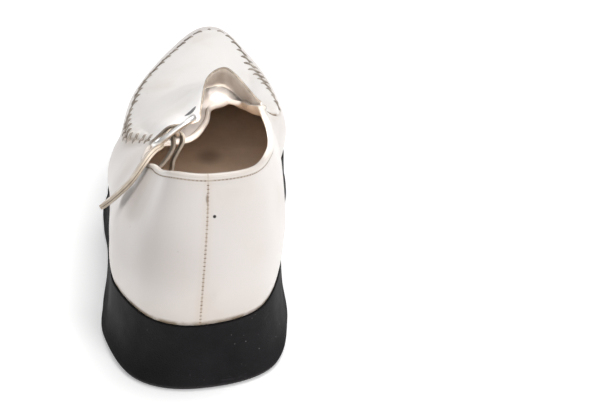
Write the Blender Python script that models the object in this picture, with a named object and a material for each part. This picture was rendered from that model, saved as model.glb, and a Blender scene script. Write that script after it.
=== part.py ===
"""A left strap shoe on a one-piece wedge sole, with a stitched leaf-shaped apron.

Frame: the origin is on the floor under the middle of the heel, +Y runs to the toe,
+X to the inner (medial) side of this left foot, +Z up. Tables and sizes are in
millimetres, and every mesh is written in metres.
"""
from collections import namedtuple
from math import cos, pi, sin

import bpy
from mathutils import Vector

# ---------------------------------------------------------------- driving sizes, mm
METRE = 0.001
WALL = 2.0              # leather and lining together
GAP = 0.3               # clearance between pieces that touch

HEEL_DECK = 24.5        # height of the sole's top under the heel
BALL_DECK = 22.0        # height of the sole's top under the ball
WEDGE_START = 20.0      # the sole's top begins to fall here
WEDGE_LENGTH = 110.0
SPRING_START = 140.0    # the tread is flat from the heel to here
SOLE_TIP = 219.0        # where the toe spring reaches its full height
TOE_SPRING = 9.0
SPRING_POWER = 1.8      # how late the toe spring begins
LEDGE = 0.8             # the sole's top stands out past the upper by this
EDGE_BEVEL = 2.0        # chamfer round the tread
TREAD_INSET = 2.2
WAIST_FLARE = 0.36      # share of the flare that is reached half way down

INSOLE_THICK = 3.0
INSOLE_INSET = 0.6      # clearance of the insole to the upper's inner wall

APRON_THICK = 1.5
APRON_GAP = 0.45        # clearance that allows for both pieces' facets
LIFT_POWER = 1.7        # how late the apron rises to its arch
LOOP_THICK = 1.1
LOOP_WIDTH = 8.0

RAIL_HALF = 9.3         # half the buckle's length, along its rails
BAR_HALF = 6.0          # half the buckle's width, along its centre bar
RAIL_RADIUS = 1.0
KNOB_RADIUS = 1.7       # the thick upper end of the frame
KNOB_POWER = 6          # how suddenly the frame thickens there
CORNER = 4.0            # 2 gives the frame an oval outline, more a squarer one
FRAME_DIP = 0.012       # the frame curves down towards its upper end
BAR_RADIUS = 0.9
BAR_DROP = 2.2          # the centre bar lies this far below the rails
BAR_CRANK = 1.4         # and comes up to them within this length
EDGE_ROUND = 0.45       # rounding of a strap's edge, as a share of its half thickness
STEEP_REACH = 14.0      # a section shorter than this across rises along its own outside

STEPS = 4               # samples from one section row to the next
RISE = 12               # samples from the feather line to the edge
APRON_RISE = 16         # samples from the apron's seam to its free edge
FRAME_STEPS = 40
LOOP_TURN_STEPS = 5
ROD_SIDES = 10

WHITE = (0.87, 0.85, 0.82)
BEIGE = (0.55, 0.47, 0.38)
LINING = (0.12, 0.09, 0.065)
BLACK = (0.016, 0.015, 0.017)
METAL = (0.72, 0.71, 0.7)

# One row for each section of the upper, from the back of the heel along the outer
# side to the toe and back along the inner side.
#   fx fy          the feather line, where the upper meets the sole
#   ex ey ez       the edge of the opening
#   belly out/up   the section's first handle: how far it swells, how steeply it rises
#   top out/drop   the section's second handle, next to the edge
#   flare          how far the sole's foot stands out past the feather line
Section = namedtuple("Section", "name fx fy ex ey ez out up top_out top_drop flare")
SECTIONS = [
    Section("heel back", 3.0, -35.0, 5.9, -31.3, 85.6, 6.4, 21.5, 2.5, 18.0, 7.0),
    Section("heel outer back", -16.5, -29.5, -8.4, -27.3, 85.0, 5.2, 22.0, 5.1, 20.0, 8.4),
    Section("heel outer", -31.5, -3.0, -13.9, -4.0, 75.2, 4.5, 18.0, 7.9, 20.0, 5.3),
    Section("quarter outer", -34.5, 22.0, -17.4, 16.7, 67.6, 6.0, 20.0, 5.7, 12.0, 4.5),
    Section("waist outer", -36.4, 48.0, -22.5, 36.0, 60.2, 5.1, 18.2, 5.7, 7.9, 3.0),
    Section("joint outer rear", -38.5, 69.9, -20.0, 54.1, 59.5, 4.9, 19.2, 8.5, 4.5, 2.4),
    Section("joint outer", -41.2, 91.7, -4.3, 60.5, 60.2, 4.6, 22.9, 22.5, 1.9, 3.0),
    Section("ball outer", -39.4, 116.9, 1.7, 77.8, 60.1, 0.4, 26.7, 38.8, 5.1, 6.4),
    Section("forepart outer", -35.8, 156.1, 2.7, 92.6, 60.1, 2.9, 35.4, 41.0, 11.6, 4.6),
    Section("toe outer", -21.3, 197.1, 7.9, 100.7, 59.0, 5.4, 39.3, 42.3, 10.7, 3.4),
    Section("toe tip", -1.7, 220.0, 10.8, 104.0, 58.9, 7.0, 43.4, 47.6, 13.8, 2.4),
    Section("toe inner", 18.8, 197.9, 15.4, 100.1, 59.9, 3.2, 39.1, 28.5, 21.2, 2.6),
    Section("forepart inner", 31.6, 161.7, 18.5, 92.7, 63.1, 1.4, 41.3, 9.7, 17.4, 2.6),
    Section("ball inner", 34.8, 131.3, 21.3, 81.6, 66.1, 7.3, 28.8, 0.5, 8.0, 2.2),
    Section("joint inner", 31.4, 102.6, 24.8, 70.5, 70.9, 4.4, 27.5, 3.4, 6.4, 3.6),
    Section("waist inner", 30.2, 74.0, 26.9, 57.9, 72.5, 4.4, 24.8, 5.8, 10.0, 4.2),
    Section("quarter inner", 30.5, 43.9, 29.3, 36.1, 74.1, 5.1, 23.6, 6.1, 13.4, 4.4),
    Section("heel inner", 32.9, 11.5, 28.9, 7.1, 78.7, 4.9, 21.7, 4.2, 15.1, 4.0),
    Section("heel inner back", 25.0, -21.5, 22.4, -21.9, 84.4, 7.0, 21.3, 4.3, 17.9, 7.4),
]

# The apron covers the vamp from the outer joint round the toe to the inner joint.
# Each row is one line on it, from its stitched edge to its free back edge.
#   seam_at seam   the stitched end: which section it lies on, and how far up it
#   edge_at edge   the other end, on the vamp below the free edge
#   leaves         the share of the line at which it rises off the vamp
#   ax ay az       where its free edge stands
ApronRow = namedtuple("ApronRow", "name seam_at seam edge_at edge leaves ax ay az")
APRON = [
    ApronRow("outer corner", 5.99, 0.46, 5.10, 0.96, 0.65, -19.4, 52.0, 61.2),
    ApronRow("strap side", 6.37, 0.44, 5.50, 1.00, 0.32, -15.9, 41.0, 68.8),
    ApronRow("strap root", 6.67, 0.42, 5.80, 1.00, 0.27, -11.1, 32.8, 76.2),
    ApronRow("strap top", 6.99, 0.40, 6.20, 1.00, 0.29, -4.6, 33.2, 77.3),
    ApronRow("tab corner", 7.38, 0.41, 6.70, 1.00, 0.35, 0.6, 37.0, 77.8),
    ApronRow("outer arch", 7.85, 0.42, 7.30, 1.00, 0.44, 1.4, 49.0, 78.8),
    ApronRow("outer crest", 8.72, 0.42, 8.40, 1.00, 0.56, 3.1, 68.5, 82.6),
    ApronRow("crest", 10.00, 0.42, 10.00, 1.00, 0.74, 8.6, 76.0, 84.2),
    ApronRow("inner crest", 11.00, 0.44, 11.00, 1.00, 0.71, 12.9, 75.0, 82.4),
    ApronRow("inner arch", 12.10, 0.445, 12.30, 1.00, 0.92, 18.4, 70.5, 78.0),
    ApronRow("inner edge", 12.70, 0.445, 13.40, 1.00, 0.95, 21.8, 67.5, 75.1),
    ApronRow("inner corner", 13.10, 0.45, 14.30, 0.97, 0.92, 24.4, 66.8, 72.8),
]

# The buckle lies over the outer side of the instep. Its rails run with the strap, and
# its centre bar, which is cranked down, crosses under the strap.
RAIL_AXIS = Vector((0.765, 0.408, 0.50)).normalized()
BAR_AXIS = Vector((-0.05, 0.95, -0.34))
BAR_AXIS = (BAR_AXIS - RAIL_AXIS * BAR_AXIS.dot(RAIL_AXIS)).normalized()
BUCKLE_UP = RAIL_AXIS.cross(BAR_AXIS).normalized()
BUCKLE_CENTRE = Vector((-9.25, 31.0, 76.2)) + BAR_AXIS * BAR_HALF

# The strap: from the apron over the bar, then down as a free tail.
StrapRow = namedtuple("StrapRow", "name x y z wide thick")
STRAP = [
    StrapRow("inside the apron", -10.0, 37.6, 75.0, 7.6, 0.7),
    StrapRow("past the bar", -12.6, 36.0, 73.3, 8.4, 1.1),
    StrapRow("under the frame", -16.0, 32.4, 68.3, 9.0, 1.9),
    StrapRow("over the topline", -19.7, 26.2, 66.8, 9.0, 1.9),
    StrapRow("outside", -26.4, 19.2, 59.2, 9.0, 1.9),
    StrapRow("tail", -32.8, 16.6, 53.4, 8.6, 1.9),
    StrapRow("rounded", -36.8, 15.6, 50.3, 7.0, 1.8),
    StrapRow("tip", -38.2, 15.4, 49.4, 4.0, 1.6),
]

# The loop: a folded strip, from the quarter's inner side round the bar and back, in
# the buckle's own directions.
LoopRow = namedtuple("LoopRow", "name rail up")
LOOP_OUTER = [
    LoopRow("outer end", -17.9, -8.4),
    LoopRow("outer leg", -11.2, -7.8),
    LoopRow("outer rise", -6.4, -6.4),
    LoopRow("outer neck", -3.5, -4.7),
]
LOOP_INNER = [
    LoopRow("inner side", 1.5, -4.3),
    LoopRow("inner neck", -0.2, -6.2),
    LoopRow("inner rise", -3.6, -7.7),
    LoopRow("inner leg", -7.6, -9.6),
    LoopRow("inner foot", -10.6, -12.2),
    LoopRow("inner end", -17.9, -14.4),
]


def blend_rows(before, start, end, after, share):
    """One point of a smooth curve that runs through start and end."""
    point = []
    for p0, p1, p2, p3 in zip(before, start, end, after):
        bend = 2 * p0 - 5 * p1 + 4 * p2 - p3
        twist = 3 * (p1 - p2) + p3 - p0
        point.append(p1 + 0.5 * share * ((p2 - p0) + share * (bend + share * twist)))
    return point


def smooth_closed(rows, steps):
    """Points of the smooth closed curve through the rows."""
    count = len(rows)
    points = []
    for index in range(count):
        near = [rows[(index + shift) % count] for shift in (-1, 0, 1, 2)]
        points += [blend_rows(*near, step / steps) for step in range(steps)]
    return points


def smooth_open(rows, steps):
    """Points of the smooth curve from the first row to the last."""
    last = len(rows) - 1
    points = []
    for index in range(last):
        near = [rows[min(max(index + shift, 0), last)] for shift in (-1, 0, 1, 2)]
        points += [blend_rows(*near, step / steps) for step in range(steps)]
    points.append(list(rows[last]))
    return points


def toe_spring(y):
    """How far the sole curls up from the floor at y."""
    share = max(0.0, (y - SPRING_START) / (SOLE_TIP - SPRING_START))
    return TOE_SPRING * share ** SPRING_POWER


def deck_height(y):
    """Height of the sole's top at y: a wedge, thicker under the heel."""
    share = min(max((y - WEDGE_START) / WEDGE_LENGTH, 0.0), 1.0)
    ease = share * share * (3 - 2 * share)
    return HEEL_DECK + (BALL_DECK - HEEL_DECK) * ease + toe_spring(y)


def outward(points):
    """Outward plan direction at each point of a closed loop that runs clockwise."""
    count = len(points)
    found = []
    for index in range(count):
        ahead = points[(index + 1) % count]
        behind = points[index - 1]
        found.append(Vector((-(ahead[1] - behind[1]), ahead[0] - behind[0], 0)).normalized())
    return found


def grid_normals(grid, closed):
    """Normals of a grid of points, whose first index may run round a loop."""
    count, rise = len(grid), len(grid[0])
    normals = []
    for i in range(count):
        ahead = grid[(i + 1) % count] if closed else grid[min(i + 1, count - 1)]
        behind = grid[i - 1] if closed else grid[max(i - 1, 0)]
        column = []
        for j in range(rise):
            along = ahead[j] - behind[j]
            upward = grid[i][min(j + 1, rise - 1)] - grid[i][max(j - 1, 0)]
            column.append(upward.cross(along).normalized())
        normals.append(column)
    return normals


def shifted(grid, normals, distance):
    """The grid moved along its normals."""
    return [[p + n * distance for p, n in zip(col, ncol)] for col, ncol in zip(grid, normals)]


def add_piece(name, vertices, faces, colour, roughness, metallic=0.0, smooth_angle=0.6):
    """Make one closed solid from millimetre points, with its own material."""
    mesh = bpy.data.meshes.new(name)
    mesh.from_pydata([Vector(v) * METRE for v in vertices], [], faces)
    mesh.validate()
    mesh.shade_smooth()
    mesh.set_sharp_from_angle(angle=smooth_angle)
    material = bpy.data.materials.new(name)
    material.use_nodes = True
    shader = material.node_tree.nodes["Principled BSDF"]
    shader.inputs["Base Color"].default_value = (*colour, 1.0)
    shader.inputs["Roughness"].default_value = roughness
    shader.inputs["Metallic"].default_value = metallic
    mesh.materials.append(material)
    piece = bpy.data.objects.new(name, mesh)
    bpy.context.collection.objects.link(piece)
    return piece


def slab(loops):
    """Vertices and faces of a solid from stacked loops, closed across below and above.

    Each loop starts at the heel and reaches the toe half way, so the two sides are
    joined by rungs from the heel to the toe.
    """
    count = len(loops[0])
    half = count // 2
    vertices = [point for loop in loops for point in loop]
    faces = []
    for level in range(len(loops) - 1):
        low, high = level * count, (level + 1) * count
        for i in range(count):
            j = (i + 1) % count
            faces.append((low + i, high + i, high + j, low + j))
    top = (len(loops) - 1) * count
    for i in range(half):
        ring = [i, i + 1, count - i - 1, (count - i) % count]
        ring = list(dict.fromkeys(ring))
        faces.append(tuple(ring))
        faces.append(tuple(top + k for k in reversed(ring)))
    return vertices, faces


def shell(outer, inner, closed):
    """Vertices and faces of a wall between two grids, with its rims."""
    count, rise = len(outer), len(outer[0])
    vertices = [p for col in outer for p in col] + [p for col in inner for p in col]
    shift = count * rise

    def at(i, j):
        return (i % count) * rise + j

    faces = []
    for i in range(count if closed else count - 1):
        for j in range(rise - 1):
            quad = (at(i, j), at(i, j + 1), at(i + 1, j + 1), at(i + 1, j))
            faces.append(quad)
            faces.append(tuple(shift + k for k in reversed(quad)))
        low = (at(i, 0), at(i + 1, 0))
        high = (at(i + 1, rise - 1), at(i, rise - 1))
        faces.append((*low, low[1] + shift, low[0] + shift))
        faces.append((*high, high[1] + shift, high[0] + shift))
    if not closed:
        for j in range(rise - 1):
            start = (at(0, j + 1), at(0, j))
            end = (at(count - 1, j), at(count - 1, j + 1))
            faces.append((*start, start[1] + shift, start[0] + shift))
            faces.append((*end, end[1] + shift, end[0] + shift))
    return vertices, faces


# ---------------------------------------------------------------- the last's own lines
SECTION_VALUES = smooth_closed([row[1:] for row in SECTIONS], STEPS)
FEATHER = [Vector((v[0], v[1], deck_height(v[1]))) for v in SECTION_VALUES]
OUTWARD = outward(FEATHER)


def section_point(index, share):
    """A point of the upper's outer surface, on one section, part of the way up."""
    _, _, ex, ey, ez, out, up, top_out, top_drop, _ = SECTION_VALUES[index]
    foot = FEATHER[index] + Vector((0, 0, GAP))
    edge = Vector((ex, ey, ez))
    side = OUTWARD[index]
    reach = Vector((foot.x - edge.x, foot.y - edge.y, 0))
    back = reach.normalized() if reach.length > STEEP_REACH else side
    handle = foot + side * out + Vector((0, 0, up))
    top_handle = edge + back * top_out - Vector((0, 0, top_drop))
    rest = 1 - share
    return (foot * rest ** 3 + handle * (3 * rest ** 2 * share)
            + top_handle * (3 * rest * share ** 2) + edge * share ** 3)


def surface_point(at, share):
    """A point of the upper's outer surface between two sections."""
    place = at * STEPS
    index = int(place)
    near = [section_point((index + shift) % len(FEATHER), share) for shift in (-1, 0, 1, 2)]
    return Vector(blend_rows(*near, place - index))


def build_upper():
    rise = [step / RISE for step in range(RISE + 1)]
    outer = [[section_point(index, share) for share in rise] for index in range(len(FEATHER))]
    inner = shifted(outer, grid_normals(outer, True), -WALL)
    for outer_column, inner_column in zip(outer, inner):
        inner_column[0].z = outer_column[0].z
    vertices, faces = shell(outer, inner, True)
    add_piece("upper", vertices, faces, WHITE, 0.3)


def sole_ring(spread, lift, share):
    """A loop round the sole: spread turns a section's flare into how far it stands out,
    and share is how far up the side it lies."""
    ring = []
    for foot, side, values in zip(FEATHER, OUTWARD, SECTION_VALUES):
        point = foot + side * spread(values[-1])
        floor = toe_spring(foot.y)
        point.z = floor + lift + share * (deck_height(foot.y) - floor)
        ring.append(point)
    return ring


def build_sole():
    tread = sole_ring(lambda flare: flare - TREAD_INSET, 0, 0)
    edge = sole_ring(lambda flare: flare, EDGE_BEVEL, 0)
    waist = sole_ring(lambda flare: LEDGE + (flare - LEDGE) * WAIST_FLARE, 0, 0.5)
    deck = sole_ring(lambda flare: LEDGE, 0, 1)
    vertices, faces = slab([tread, edge, waist, deck])
    add_piece("sole", vertices, faces, BLACK, 0.85)


def build_insole():
    levels = []
    for lift in (GAP, GAP + INSOLE_THICK):
        ring = [p - o * (WALL + INSOLE_INSET) for p, o in zip(FEATHER, OUTWARD)]
        levels.append([Vector((p.x, p.y, deck_height(p.y) + lift)) for p in ring])
    vertices, faces = slab(levels)
    add_piece("insole", vertices, faces, LINING, 0.7)


def apron_grid():
    """Lines of points under the apron: on the vamp in front, rising to the free arch."""
    lines = []
    for row in smooth_open([row[1:] for row in APRON], STEPS):
        seam_at, seam, edge_at, edge, leaves, ax, ay, az = row
        leap = Vector((ax, ay, az)) - surface_point(edge_at, edge)
        line = []
        for step in range(APRON_RISE + 1):
            share = step / APRON_RISE
            at = seam_at + (edge_at - seam_at) * share
            height = seam + (edge - seam) * share
            lift = max(0.0, (share - leaves) / (1 - leaves)) ** LIFT_POWER
            line.append(surface_point(at, height) + leap * lift)
        lines.append(line)
    return lines


def ribbon(rows, across):
    """Vertices and faces of a flat strip along the rows, its width along one axis."""
    values = smooth_open([row[1:] for row in rows], STEPS)
    centres = [Vector(v[:3]) for v in values]
    vertices = []
    last = len(centres) - 1
    for i, centre in enumerate(centres):
        ahead = (centres[min(i + 1, last)] - centres[max(i - 1, 0)]).normalized()
        side = (across - ahead * across.dot(ahead)).normalized()
        up = ahead.cross(side)
        half, deep = values[i][3] / 2, values[i][4] / 2
        ease = EDGE_ROUND * deep
        ring = ((half, deep - ease), (half - ease, deep), (ease - half, deep),
                (-half, deep - ease), (-half, ease - deep), (ease - half, -deep),
                (half - ease, -deep), (half, ease - deep))
        vertices += [centre + side * w + up * t for w, t in ring]
    faces = tube_faces(len(centres), len(ring), False)
    return vertices, faces


def tube_faces(count, around, closed):
    """Faces of a tube of rings, shut at both ends or joined into a loop."""
    faces = []
    for i in range(count if closed else count - 1):
        low, high = i * around, ((i + 1) % count) * around
        for k in range(around):
            n = (k + 1) % around
            faces.append((low + n, high + n, high + k, low + k))
    if not closed:
        faces.append(tuple(reversed(range(around))))
        faces.append(tuple((count - 1) * around + k for k in range(around)))
    return faces


def rod(centres, radii, across, closed):
    """Vertices and faces of a round rod through the centres."""
    count = len(centres)
    vertices = []
    for i, centre in enumerate(centres):
        ahead = centres[(i + 1) % count] if closed else centres[min(i + 1, count - 1)]
        behind = centres[i - 1] if closed else centres[max(i - 1, 0)]
        along = (ahead - behind).normalized()
        side = (across - along * across.dot(along)).normalized()
        up = along.cross(side)
        for k in range(ROD_SIDES):
            turn = 2 * pi * k / ROD_SIDES
            vertices.append(centre + (side * cos(turn) + up * sin(turn)) * radii[i])
    return vertices, tube_faces(count, ROD_SIDES, closed)


def in_buckle(rail, bar, up):
    """A point given along the buckle's rails, along its bar and above its plane."""
    return BUCKLE_CENTRE + RAIL_AXIS * rail + BAR_AXIS * bar + BUCKLE_UP * up


def combine(piece, other, how):
    """Join another shape to a piece, or cut it out of the piece."""
    change = piece.modifiers.new(how.lower(), "BOOLEAN")
    change.operation = how
    change.solver = "EXACT"
    change.object = other
    other.hide_render = True
    other.display_type = "WIRE"


def build_apron():
    lines = apron_grid()
    normals = grid_normals(lines, False)
    lower = shifted(lines, normals, APRON_GAP)
    upper = shifted(lines, normals, APRON_GAP + APRON_THICK)
    vertices, faces = shell(upper, lower, False)
    apron = add_piece("apron", vertices, faces, WHITE, 0.28)
    vertices, faces = ribbon(STRAP, BAR_AXIS)
    strap = add_piece("strap_shape", vertices, faces, WHITE, 0.28)
    combine(apron, strap, "UNION")
    return apron


def build_loop():
    reach = BAR_RADIUS + GAP + LOOP_THICK / 2
    turn = []
    for step in range(LOOP_TURN_STEPS + 1):
        angle = pi * (1 - step / LOOP_TURN_STEPS)
        turn.append(LoopRow("round the bar", cos(angle) * reach, sin(angle) * reach - BAR_DROP))
    rows = [StrapRow(row.name, *in_buckle(row.rail, 0, row.up), LOOP_WIDTH, LOOP_THICK)
            for row in LOOP_OUTER + turn + LOOP_INNER]
    vertices, faces = ribbon(rows, BAR_AXIS)
    add_piece("buckle_loop", vertices, faces, BEIGE, 0.5)


def frame_shape(name, swell):
    """The buckle's outer frame, made thicker all round by swell."""
    centres, radii = [], []
    power = 2 / CORNER
    for step in range(FRAME_STEPS):
        angle = 2 * pi * step / FRAME_STEPS
        rail, bar = cos(angle), sin(angle)
        knob = max(0.0, rail) ** KNOB_POWER
        rail = RAIL_HALF * abs(rail) ** power * (1 if rail > 0 else -1)
        bar = BAR_HALF * abs(bar) ** power * (1 if bar > 0 else -1)
        centres.append(in_buckle(rail, bar, -FRAME_DIP * max(0.0, rail) ** 2))
        radii.append(RAIL_RADIUS + (KNOB_RADIUS - RAIL_RADIUS) * knob + swell)
    vertices, faces = rod(centres, radii, BUCKLE_UP, True)
    return add_piece(name, vertices, faces, METAL, 0.15, 1.0)


def bar_shape(name):
    """The buckle's centre bar, cranked down between its rails."""
    low_end = BAR_HALF - BAR_CRANK
    path = [in_buckle(0, -BAR_HALF, 0), in_buckle(0, -low_end, -BAR_DROP),
            in_buckle(0, low_end, -BAR_DROP), in_buckle(0, BAR_HALF, 0)]
    vertices, faces = rod(path, [BAR_RADIUS] * len(path), RAIL_AXIS, False)
    return add_piece(name, vertices, faces, METAL, 0.15, 1.0)


def build_buckle():
    buckle = frame_shape("buckle", 0)
    combine(buckle, bar_shape("bar_shape"), "UNION")


def main():
    for old in list(bpy.data.objects):
        bpy.data.objects.remove(old)
    build_sole()
    build_insole()
    build_upper()
    apron = build_apron()
    build_loop()
    build_buckle()
    combine(apron, frame_shape("frame_room", GAP), "DIFFERENCE")


main()
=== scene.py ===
# %% [markdown]
# # A left strap shoe with a hand-stitched apron
# The solid model of the shoe is loaded first. It stays as it is: each new piece is
# made in the same place and stands for the solid of the same part.

import bpy
import numpy as np
from math import cos, pi, radians, sin
from mathutils import Matrix, Vector
from mathutils.bvhtree import BVHTree
from mathutils.kdtree import KDTree


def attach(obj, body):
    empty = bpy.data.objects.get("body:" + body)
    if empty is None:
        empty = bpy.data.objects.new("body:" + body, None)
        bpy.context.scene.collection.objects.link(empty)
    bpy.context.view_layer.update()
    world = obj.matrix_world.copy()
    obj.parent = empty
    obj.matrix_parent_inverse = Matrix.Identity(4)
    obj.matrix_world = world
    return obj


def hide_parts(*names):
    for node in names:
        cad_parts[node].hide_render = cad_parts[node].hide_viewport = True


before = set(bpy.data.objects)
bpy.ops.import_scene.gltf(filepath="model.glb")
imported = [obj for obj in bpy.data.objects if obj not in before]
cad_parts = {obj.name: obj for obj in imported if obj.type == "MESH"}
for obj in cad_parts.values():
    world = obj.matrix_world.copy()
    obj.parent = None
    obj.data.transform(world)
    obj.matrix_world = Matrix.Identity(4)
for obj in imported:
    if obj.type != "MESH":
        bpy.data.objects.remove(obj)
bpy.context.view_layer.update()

# %% [markdown]
# ## The last
# A shoe is built round a last, and its surface can be told with few numbers. Each row
# is one section: where it leaves the sole, where it ends at the opening, and two
# handles that say how it swells on the way. Smooth curves join the rows. All tables
# are in millimetres, with the toe towards +Y and the inner side of the foot at +X.

# %% Sections of the last
MM = 0.001
GAP = 0.3       # air between neighbouring pieces
# columns: fx fy | ex ey ez | out up | top_out top_drop | flare
SECTIONS = np.array([
    (3.0, -35.0, 5.9, -31.3, 85.6, 6.4, 21.5, 2.5, 18.0, 7.0),      # heel back
    (-16.5, -29.5, -8.4, -27.3, 85.0, 5.2, 22.0, 5.1, 20.0, 8.4),   # heel outer back
    (-31.5, -3.0, -13.9, -4.0, 75.2, 4.5, 18.0, 7.9, 20.0, 5.3),    # heel outer
    (-34.5, 22.0, -17.4, 16.7, 67.6, 6.0, 20.0, 5.7, 12.0, 4.5),    # quarter outer
    (-36.4, 48.0, -22.5, 36.0, 60.2, 5.1, 18.2, 5.7, 7.9, 3.0),     # waist outer
    (-38.5, 69.9, -20.0, 54.1, 59.5, 4.9, 19.2, 8.5, 4.5, 2.4),     # joint outer rear
    (-41.2, 91.7, -4.3, 60.5, 60.2, 4.6, 22.9, 22.5, 1.9, 3.0),     # joint outer
    (-39.4, 116.9, 1.7, 77.8, 60.1, 0.4, 26.7, 38.8, 5.1, 6.4),     # ball outer
    (-35.8, 156.1, 2.7, 92.6, 60.1, 2.9, 35.4, 41.0, 11.6, 4.6),    # forepart outer
    (-21.3, 197.1, 7.9, 100.7, 59.0, 5.4, 39.3, 42.3, 10.7, 3.4),   # toe outer
    (-1.7, 220.0, 10.8, 104.0, 58.9, 7.0, 43.4, 47.6, 13.8, 2.4),   # toe tip
    (18.8, 197.9, 15.4, 100.1, 59.9, 3.2, 39.1, 28.5, 21.2, 2.6),   # toe inner
    (31.6, 161.7, 18.5, 92.7, 63.1, 1.4, 41.3, 9.7, 17.4, 2.6),     # forepart inner
    (34.8, 131.3, 21.3, 81.6, 66.1, 7.3, 28.8, 0.5, 8.0, 2.2),      # ball inner
    (31.4, 102.6, 24.8, 70.5, 70.9, 4.4, 27.5, 3.4, 6.4, 3.6),      # joint inner
    (30.2, 74.0, 26.9, 57.9, 72.5, 4.4, 24.8, 5.8, 10.0, 4.2),      # waist inner
    (30.5, 43.9, 29.3, 36.1, 74.1, 5.1, 23.6, 6.1, 13.4, 4.4),      # quarter inner
    (32.9, 11.5, 28.9, 7.1, 78.7, 4.9, 21.7, 4.2, 15.1, 4.0),       # heel inner
    (25.0, -21.5, 22.4, -21.9, 84.4, 7.0, 21.3, 4.3, 17.9, 7.4),    # heel inner back
])


def smooth(rows, at, closed):
    """Values of the smooth curve through the rows, at any places between them."""
    rows, at = np.asarray(rows, float), np.asarray(at, float)
    first = np.floor(at).astype(int)
    if not closed:
        first = np.clip(first, 0, len(rows) - 2)
    share = (at - first)[..., None]
    near = [first + shift for shift in (-1, 0, 1, 2)]
    near = [n % len(rows) if closed else np.clip(n, 0, len(rows) - 1) for n in near]
    a, b, c, d = (rows[n] for n in near)
    return b + 0.5 * share * (c - a + share * (2 * a - 5 * b + 4 * c - d
                                               + share * (3 * (b - c) + d - a)))


# places along the outline are counted in sections, from 0 to this number
ROUND = len(SECTIONS)
# the tread is flat up to the spring's start, and the deck falls from heel to ball
SPRING_START, SPRING_LENGTH, SPRING_HEIGHT, SPRING_POWER = 140.0, 79.0, 9.0, 1.8
WEDGE_START, WEDGE_LENGTH, HEEL_DECK, DECK_DROP = 20.0, 110.0, 24.5, 2.5


def toe_spring(y):
    """How high the tread curls above the floor."""
    return SPRING_HEIGHT * np.clip((y - SPRING_START) / SPRING_LENGTH, 0, None) ** SPRING_POWER


def deck_height(y):
    """How high the top of the sole lies."""
    share = np.clip((y - WEDGE_START) / WEDGE_LENGTH, 0, 1)
    return HEEL_DECK - DECK_DROP * share * share * (3 - 2 * share) + toe_spring(y)


def unit(v):
    return v / np.maximum(np.linalg.norm(v, axis=-1, keepdims=True), 1e-9)


def run_of(line):
    """How far along a line of points each of them lies."""
    return np.concatenate([[0], np.cumsum(np.linalg.norm(np.diff(line, axis=0), axis=1))])


def feather(at):
    """The line where the upper meets the sole."""
    plan = smooth(SECTIONS[:, :2], at, True)
    return np.stack([plan[..., 0], plan[..., 1], deck_height(plan[..., 1])], -1)


def outward(at):
    """The level direction away from the shoe, square to the feather line."""
    run = feather(at + 0.25) - feather(at - 0.25)
    return unit(np.stack([-run[..., 1], run[..., 0], 0 * run[..., 0]], -1))


def last(at, share):
    """A point of the upper's outer surface: which section, and how far up it."""
    at, share = np.broadcast_arrays(np.asarray(at, float), np.asarray(share, float))
    row = smooth(SECTIONS, at, True)
    foot, edge, side = feather(at) + (0, 0, GAP), row[..., 2:5], outward(at)
    reach = (foot - edge) * (1, 1, 0)
    length = np.linalg.norm(reach, axis=-1, keepdims=True)
    # a wall that stands nearly upright has no clear way back, so it follows the outline
    lean = np.clip((length - 9.0) / 12.0, 0, 1)
    back = unit(side * (1 - lean) + unit(reach) * lean)
    low = foot + side * row[..., 5:6] + np.array((0, 0, 1)) * row[..., 6:7]
    high = edge + back * row[..., 7:8] - np.array((0, 0, 1)) * row[..., 8:9]
    t = share[..., None]
    r = 1 - t
    return foot * r ** 3 + 3 * low * r * r * t + 3 * high * r * t * t + edge * t ** 3


def grid_normals(grid, closed):
    """Outward normals of a grid whose first index runs along the shoe's outline."""
    if closed:
        along = np.roll(grid, -1, 0) - np.roll(grid, 1, 0)
    else:
        along = np.gradient(grid, axis=0)
    return unit(np.cross(np.gradient(grid, axis=1), along))


print("length of the feather line, mm:", round(run_of(feather(np.linspace(0, ROUND, 400)))[-1]))

# %% [markdown]
# ## Helpers for meshes
# Leather is a sheet with two faces and a cut edge, so most pieces are grids of points
# that wrap round the sheet. Sticks such as thread, rails and strips are rings of
# points along a path. Each face knows its material slot.

# %% Mesh helpers
made = {}


def piece(name, points, faces, materials, slots=None, values=None, node=None,
          slot="white_leather"):
    """Makes one smooth-shaded mesh object from millimetre points, riding on the shoe."""
    mesh = bpy.data.meshes.new(name)
    mesh.from_pydata((np.asarray(points) * MM).tolist(), [], faces)
    mesh.update()
    mesh.shade_smooth()
    if slots is not None:
        mesh.polygons.foreach_set("material_index", np.asarray(slots, np.int32))
    for key, numbers in (values or {}).items():
        layer = mesh.attributes.new(key, "FLOAT", "POINT")
        layer.data.foreach_set("value", np.asarray(numbers, np.float32).ravel())
    shape = bpy.data.objects.new(name, mesh)
    bpy.context.collection.objects.link(shape)
    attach(shape, "root")
    if node:
        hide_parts(node)
    for material in materials:
        shape.data.materials.append(material)
    made[name] = shape
    print(name, len(mesh.polygons), "faces")
    return shape


def sheet_faces(columns, around, closed):
    """Quads of a grid whose second index closes on itself."""
    i = np.arange(columns if closed else columns - 1)[:, None]
    j = np.arange(around)[None, :]
    ahead, over = (i + 1) % columns, (j + 1) % around
    quads = np.stack([i * around + j, i * around + over,
                      ahead * around + over, ahead * around + j], -1)
    return quads.reshape(-1, 4)


def at_height(ring, height):
    """A ring of points with new heights."""
    return np.concatenate([ring[:, :2], np.reshape(height, (-1, 1))], 1)


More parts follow.
